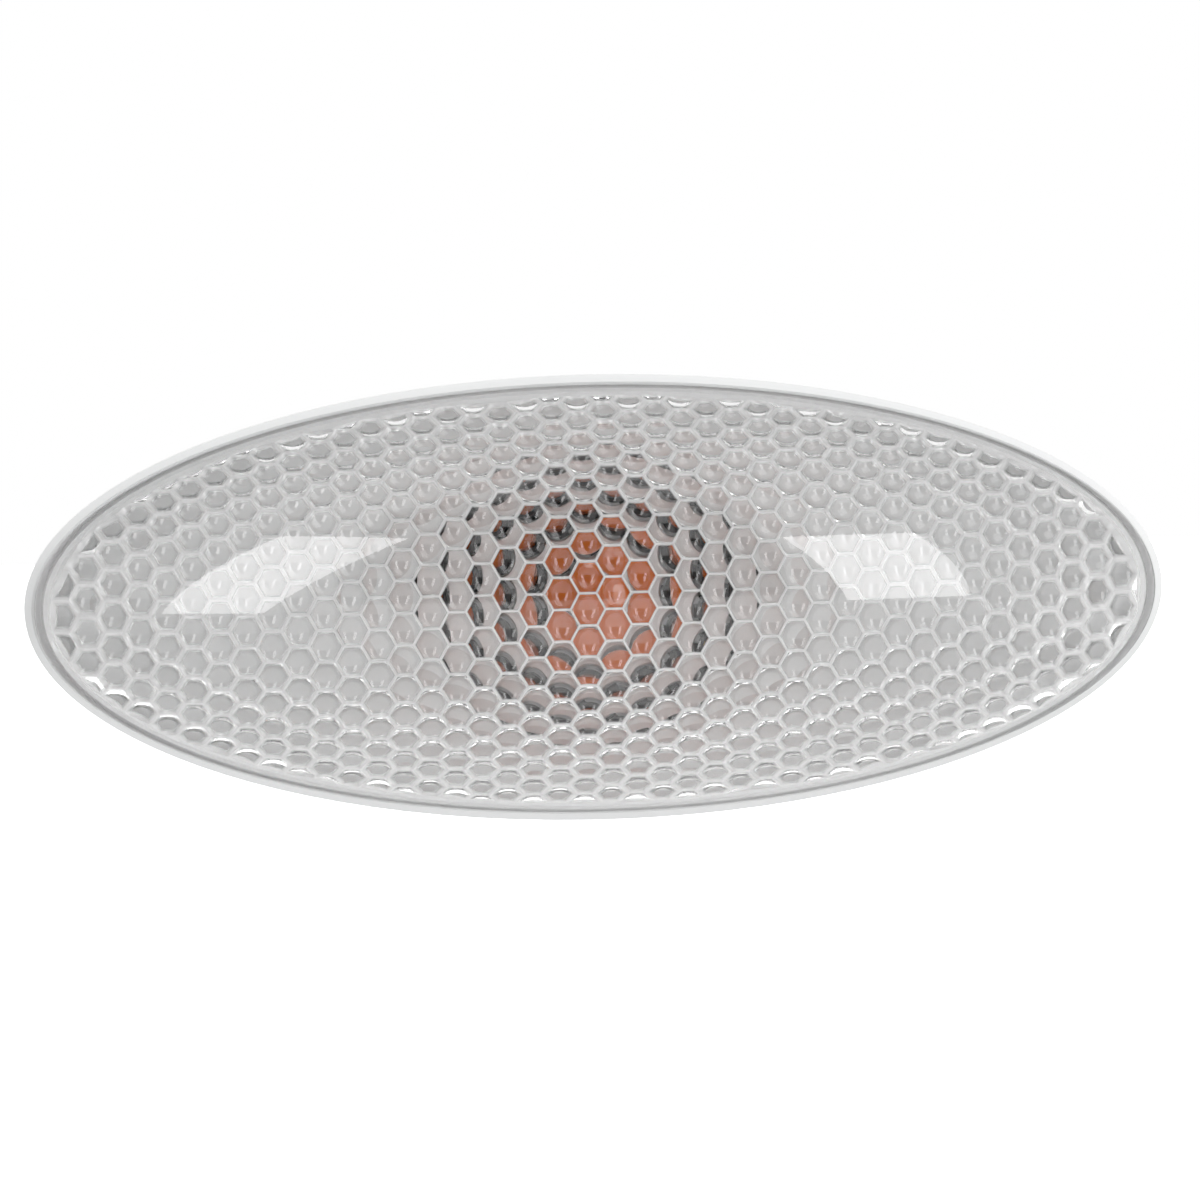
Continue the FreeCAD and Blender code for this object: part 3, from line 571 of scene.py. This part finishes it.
def oval_loop(mesh, half_x, half_y, z, spokes):
    """Closed ring of vertices on an ellipse."""
    turns = [2 * math.pi * spoke / spokes for spoke in range(spokes)]
    return [mesh.verts.new(to_row((half_x * math.cos(t), half_y * math.sin(t), z))) for t in turns]


def frost_loop(mesh, ring, start):
    """Mark a ring of vertices as frosted, as the welded tongue of the lens is."""
    valley, frost = mesh.verts.layers.float[VALLEY], mesh.verts.layers.float[FROST_START]
    for vert in ring:
        vert[valley], vert[frost] = 1.0, start


def skin(mesh, lower, upper):
    """Band of quads between two rings of equal count."""
    count = len(lower)
    for at in range(count):
        after = (at + 1) % count
        mesh.faces.new((lower[at], lower[after], upper[after], upper[at]))


def loop_edges(mesh, ring):
    """Edges round a ring of vertices."""
    edges = []
    for at, vert in enumerate(ring):
        after = ring[(at + 1) % len(ring)]
        edges.append(mesh.edges.get((vert, after)) or mesh.edges.new((vert, after)))
    return edges


def open_edges(mesh):
    """Edges that have a face on one side only."""
    return [edge for edge in mesh.edges if edge.is_boundary]


def sharpen(edges):
    """Keep the shading apart at some edges."""
    for edge in edges:
        edge.smooth = False


def shade_closed(mesh):
    """Turn the faces of a closed mesh outwards and shade them smooth."""
    bmesh.ops.recalc_face_normals(mesh, faces=mesh.faces)
    for face in mesh.faces:
        face.smooth = True


def places_of(verts):
    """Rounded places of an edge's ends, by which it is known again after a merge."""
    return tuple(sorted(tuple(round(c, PLACE_DIGITS) for c in vert.co) for vert in verts))


def lay_optics(mesh, optics, form, base):
    """All pillows in one sheet with sharp borders, drawn down to the base; returns the foot."""
    borders = []
    for centre, outline in optics.pillows():
        lay_pillow(mesh, optics, centre, outline, form, borders)
    border_places = {places_of(pair) for pair in borders}
    bmesh.ops.remove_doubles(mesh, verts=mesh.verts, dist=MERGE_GAP)
    for edge in mesh.edges:
        edge.smooth = places_of(edge.verts) not in border_places
    rim = open_edges(mesh)
    sharpen(rim)
    drawn = bmesh.ops.extrude_edge_only(mesh, edges=rim)["geom"]
    for vert in (item for item in drawn if isinstance(item, bmesh.types.BMVert)):
        vert.co.y = -base
    return open_edges(mesh)


def raise_dome(mesh, optics, form):
    """Outer dome of the lens; returns its last ring."""
    spokes = form.dome_spokes
    dome_z = (form.crown - optics.seat - form.edge_height) / (1 - math.sqrt(1 - form.fullness ** 2))
    dome_base = form.crown - dome_z
    last_turn = math.asin(form.fullness)
    rings = []
    for ring in range(1, form.dome_rings + 1):
        turn = last_turn * ring / form.dome_rings
        reach = math.sin(turn) / form.fullness
        rings.append(oval_loop(mesh, form.half_length * reach, form.half_height * reach,
                               dome_base + dome_z * math.cos(turn), spokes))
    crown = mesh.verts.new(to_row((0, 0, form.crown)))
    for at in range(spokes):
        mesh.faces.new((crown, rings[0][at], rings[0][(at + 1) % spokes]))
    for outer, inner in zip(rings[1:], rings[:-1]):
        skin(mesh, outer, inner)
    return rings[-1]


def build_lens_mesh(form):
    """Whole lens as one closed mesh: pillows, dome, straight edge, tongue and rim."""
    optics = PillowOptics(form)
    base = optics.seat + form.bond_gap
    spokes = form.dome_spokes
    mesh = bmesh.new()
    for layer in (VALLEY, FROST_START):
        mesh.verts.layers.float.new(layer)
    foot = lay_optics(mesh, optics, form, base)
    edge_high = raise_dome(mesh, optics, form)
    edge_low = oval_loop(mesh, form.half_length, form.half_height, base, spokes)
    skin(mesh, edge_low, edge_high)
    middle, half = form.rim_width / 2, form.tongue_width / 2
    tongue = {}
    for side, inset in (("outer", middle - half), ("inner", middle + half)):
        for level, z in (("top", base), ("end", form.tongue_end)):
            ring = oval_loop(mesh, form.half_length - inset, form.half_height - inset, z, spokes)
            frost_loop(mesh, ring, form.frost_end)
            tongue[side, level] = ring
    section = (edge_low, tongue["outer", "top"], tongue["outer", "end"],
               tongue["inner", "end"], tongue["inner", "top"])
    for lower, upper in zip(section[:-1], section[1:]):
        skin(mesh, lower, upper)
    for ring in (edge_high, edge_low, *tongue.values()):
        sharpen(loop_edges(mesh, ring))
    bmesh.ops.triangle_fill(mesh, edges=foot + loop_edges(mesh, tongue["inner", "top"]),
                            use_beauty=True)
    sharpen(foot)
    shade_closed(mesh)
    return mesh


def build_coil_mesh(form):
    """Filament wire wound along the lamp between the two leads, closed at both ends."""
    mesh = bmesh.new()
    centre = (FILAMENT_LOW + FILAMENT_HIGH) / 2
    length = FILAMENT_HIGH.x - FILAMENT_LOW.x - 2 * form.wire
    radius = (FILAMENT_HIGH.z - FILAMENT_LOW.z) / 2 - form.wire
    steps = form.turns * form.turn_steps
    rings = []
    for step in range(steps + 1):
        turn = 2 * math.pi * step / form.turn_steps
        out = Vector((0, math.cos(turn), math.sin(turn)))
        hub = centre + out * radius + Vector((length * (step / steps - 0.5), 0, 0))
        ring = []
        for side in range(form.wire_sides):
            angle = 2 * math.pi * side / form.wire_sides
            spread = out * math.cos(angle) + Vector((1, 0, 0)) * math.sin(angle)
            ring.append(mesh.verts.new(hub + spread * form.wire))
        rings.append(ring)
    for lower, upper in zip(rings[:-1], rings[1:]):
        skin(mesh, lower, upper)
    mesh.faces.new(rings[0])
    mesh.faces.new(rings[-1])
    shade_closed(mesh)
    return mesh


def piece_from(mesh, name, material):
    """Object in the row frame made from a mesh, with its finish."""
    data = bpy.data.meshes.new(name)
    mesh.to_mesh(data)
    mesh.free()
    data.materials.append(material)
    piece = bpy.data.objects.new(name, data)
    bpy.context.scene.collection.objects.link(piece)
    return piece


class LAMP_OT_lens(bpy.types.Operator):
    """Clear lens with round pillows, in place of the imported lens."""

    bl_idname = "lamp.lens"
    bl_label = "Lens"

    def execute(self, context):
        lens = piece_from(build_lens_mesh(settings("lens")), "clear_lens", polycarbonate())
        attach(lens, "lamp")
        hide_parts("lens")
        return {"FINISHED"}


class LAMP_OT_housing(bpy.types.Operator):
    """White housing and its foam gasket."""

    bl_idname = "lamp.housing"
    bl_label = "Housing"

    def execute(self, context):
        finish = settings("finish")
        dress("housing", moulded_plastic("abs_white_moulded", finish.housing_hex, shade=0.93,
                                         grain_mm=0.25, rough=0.42, depth_mm=0.02))
        dress("gasket", porous_skin("epdm_foam_cut", finish.foam_hex, cell_mm=0.35, depth_mm=0.12))
        return {"FINISHED"}


class LAMP_OT_holder(bpy.types.Operator):
    """Black twist-in holder, its seal and its contacts."""

    bl_idname = "lamp.holder"
    bl_label = "Bulb holder"

    def execute(self, context):
        finish = settings("finish")
        dress("bulb_holder", moulded_plastic("nylon_black_moulded", finish.holder_hex, shade=0.7,
                                             grain_mm=0.2, rough=0.3, depth_mm=0.03))
        dress("holder_seal", porous_skin("rubber_black_moulded", finish.seal_hex,
                                         cell_mm=0.5, depth_mm=0.03))
        brass = drawn_metal("brass_strip_stamped", finish.brass_hex, grain_mm=0.12, rough=0.32)
        dress("contact_left", brass)
        dress("contact_right", brass)
        return {"FINISHED"}


class LAMP_OT_bulb(bpy.types.Operator):
    """Amber bulb with its leads and coiled filament."""

    bl_idname = "lamp.bulb"
    bl_label = "Bulb"

    def execute(self, context):
        finish = settings("finish")
        dress("bulb_glass", amber_glass())
        nickel = drawn_metal("nickel_wire_drawn", finish.nickel_hex, grain_mm=0.08, rough=0.3)
        dress("bulb_lead_left", nickel)
        dress("bulb_lead_right", nickel)
        tungsten = drawn_metal("tungsten_wire_coiled", finish.tungsten_hex,
                               grain_mm=0.05, rough=0.4)
        dress("bulb_filament", tungsten)
        coil = piece_from(build_coil_mesh(settings("filament")), "filament_coil", tungsten)
        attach(coil, "holder")
        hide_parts("bulb_filament")
        return {"FINISHED"}


def direction(azimuth, elevation):
    """Unit vector from the lamp to the front, turned right and up."""
    return Vector((math.sin(azimuth) * math.cos(elevation),
                   -math.cos(azimuth) * math.cos(elevation), math.sin(elevation)))


def soft_box(name, azimuth, elevation, lean, width, height, power):
    """Soft rectangular light one metre from the lamp, turned to it and leaning sideways."""
    data = bpy.data.lights.new(name, "AREA")
    data.shape = "RECTANGLE"
    data.size, data.size_y = width, height
    data.energy = power
    box = bpy.data.objects.new(name, data)
    box.location = direction(math.radians(azimuth), math.radians(elevation))
    turn = (-box.location).to_track_quat("-Z", "Y")
    box.rotation_mode = "QUATERNION"
    box.rotation_quaternion = turn @ Matrix.Rotation(math.radians(lean), 3, "Z").to_quaternion()
    bpy.context.scene.collection.objects.link(box)
    return box


def mirror_only(box):
    """Keep a light to what polished faces show of it, so that it adds no fill inside the lamp.

    Diffuse depth counts whole bounces, so a depth under a half means none so far.
    """
    box.visible_diffuse = False
    box.data.use_nodes = True
    tree = box.data.node_tree
    tree.nodes.clear()
    path = add_node(tree, "ShaderNodeLightPath")
    direct = add_node(tree, "ShaderNodeMath", {1: 0.5}, {0: path.outputs["Diffuse Depth"]},
                      operation="LESS_THAN")
    glow = add_node(tree, "ShaderNodeEmission", links={"Strength": direct.outputs["Value"]})
    add_node(tree, "ShaderNodeOutputLight", links={"Surface": glow.outputs["Emission"]})


def seen_rays(tree):
    """Light path node, and a value of one for rays that see, straight or through the lens."""
    path = add_node(tree, "ShaderNodeLightPath")
    seen = add_node(tree, "ShaderNodeMath", links={0: path.outputs["Is Camera Ray"],
                                                   1: path.outputs["Is Transmission Ray"]},
                    operation="MAXIMUM")
    return path, seen.outputs["Value"]


def white_world(stage):
    """Even studio white: softer as light on dull faces, full where it is seen or mirrored."""
    world = bpy.data.worlds.new("studio_white")
    world.use_nodes = True
    tree = world.node_tree
    tree.nodes.clear()
    path, seen = seen_rays(tree)
    sharp = add_node(tree, "ShaderNodeMath", links={0: seen, 1: path.outputs["Is Glossy Ray"]},
                     operation="MAXIMUM")
    strength = add_node(tree, "ShaderNodeMapRange", {"To Min": stage.fill, "To Max": 1.0},
                        {"Value": sharp.outputs["Value"]})
    back = add_node(tree, "ShaderNodeBackground", {"Color": (1, 1, 1, 1)},
                    {"Strength": strength.outputs["Result"]})
    add_node(tree, "ShaderNodeOutputWorld", links={"Surface": back.outputs["Background"]})
    return world


def floor_paper(stage):
    """White paper over a light table: matt, evenly white, with only the softest shadow."""
    finish = settings("finish")
    fibre_mm = 1.5
    material, tree, place = new_material("paper_white_matt")
    fibre = add_node(tree, "ShaderNodeTexNoise", {"Scale": per_metre(fibre_mm), "Detail": 6.0},
                     {"Vector": place})
    colour = add_node(tree, "ShaderNodeValToRGB", links={"Fac": fibre.outputs["Fac"]})
    colour.color_ramp.elements[0].color = linear(finish.fibre_hex)
    colour.color_ramp.elements[1].color = linear(finish.paper_hex)
    _, seen = seen_rays(tree)
    glow = add_node(tree, "ShaderNodeMath", {1: stage.floor_glow}, {0: seen}, operation="MULTIPLY")
    shader = add_node(tree, "ShaderNodeBsdfPrincipled",
                      {"Roughness": 0.9, "Emission Color": (1, 1, 1, 1)},
                      {"Base Color": colour.outputs["Color"],
                       "Emission Strength": glow.outputs["Value"]})
    add_node(tree, "ShaderNodeOutputMaterial", links={"Surface": shader.outputs["BSDF"]})
    return material


def lay_floor(stage):
    """Level floor below the lamp."""
    cells = 8
    mesh = bmesh.new()
    bmesh.ops.create_grid(mesh, x_segments=cells, y_segments=cells, size=stage.floor_half)
    plane = piece_from(mesh, "studio_floor", floor_paper(stage))
    plane.location.z = CAD_BOX[0].z - stage.floor_drop


def dark_card(stage):
    """Dark felt card on the camera's side, which the lens mirrors; the camera never sees it."""
    half, height = stage.card_width / 2, stage.card_height
    mesh = bmesh.new()
    corners = ((-half, 0), (half, 0), (half, height), (-half, height))
    mesh.faces.new([mesh.verts.new((x, -stage.card_distance, z)) for x, z in corners])
    felt = porous_skin("felt_black_pressed", settings("finish").card_hex, cell_mm=1.2, depth_mm=0.3)
    card = piece_from(mesh, "studio_card", felt)
    card.visible_camera = False


def aim_camera(scene, stage):
    """Camera that frames the lamp as the photograph does."""
    back = direction(stage.azimuth, stage.elevation)
    turn = (-back).to_track_quat("-Z", "Y")
    right, up = turn @ Vector((1, 0, 0)), turn @ Vector((0, 1, 0))
    target = right * stage.aim_right - up * stage.aim_down
    camera = bpy.data.objects.new("camera", bpy.data.cameras.new("camera"))
    camera.data.lens = camera.data.sensor_width * stage.distance / stage.frame_width
    camera.data.clip_start = CLIP_START
    camera.location = target + back * stage.distance
    camera.rotation_mode = "QUATERNION"
    camera.rotation_quaternion = turn @ Matrix.Rotation(-stage.roll, 3, "Z").to_quaternion()
    scene.collection.objects.link(camera)
    scene.camera = camera


class LAMP_OT_stage(bpy.types.Operator):
    """Camera, floor, dark card, world and soft lights."""

    bl_idname = "lamp.stage"
    bl_label = "Stage"

    def execute(self, context):
        stage = settings("stage")
        scene = context.scene
        scene.view_settings.view_transform = "Standard"
        scene.world = white_world(stage)
        lay_floor(stage)
        dark_card(stage)
        aim_camera(scene, stage)
        for box in SOFTBOXES:
            mirror_only(soft_box(*box, stage.softbox_power))
        key = soft_box(*KEY_LIGHT, stage.key_power)
        key.visible_glossy = False
        return {"FINISHED"}


class LAMP_PT_panel(bpy.types.Panel):
    """Steps of the lamp in the sidebar."""

    bl_idname = "LAMP_PT_panel"
    bl_label = "Side indicator lamp"
    bl_space_type = "VIEW_3D"
    bl_region_type = "UI"
    bl_category = "Lamp"

    def draw(self, context):
        for step in OPERATORS:
            self.layout.operator(step.bl_idname)


GROUPS = {"lens": LampLensSettings, "filament": LampFilamentSettings,
          "finish": LampFinishSettings, "stage": LampStageSettings}
OPERATORS = (LAMP_OT_lens, LAMP_OT_housing, LAMP_OT_holder, LAMP_OT_bulb, LAMP_OT_stage)
CLASSES = (*GROUPS.values(), *OPERATORS, LAMP_PT_panel)


def register():
    """Register the classes and hang the settings on the scene."""
    for kind in CLASSES:
        bpy.utils.register_class(kind)
    for name, group in GROUPS.items():
        setattr(bpy.types.Scene, "lamp_" + name, bpy.props.PointerProperty(type=group))


def unregister():
    """Take the settings off the scene and unregister the classes."""
    for name in GROUPS:
        delattr(bpy.types.Scene, "lamp_" + name)
    for kind in reversed(CLASSES):
        bpy.utils.unregister_class(kind)


def main():
    """Build every piece and the stage."""
    register()
    bpy.ops.lamp.lens()
    bpy.ops.lamp.housing()
    bpy.ops.lamp.holder()
    bpy.ops.lamp.bulb()
    bpy.ops.lamp.stage()


if __name__ == "__main__":
    main()
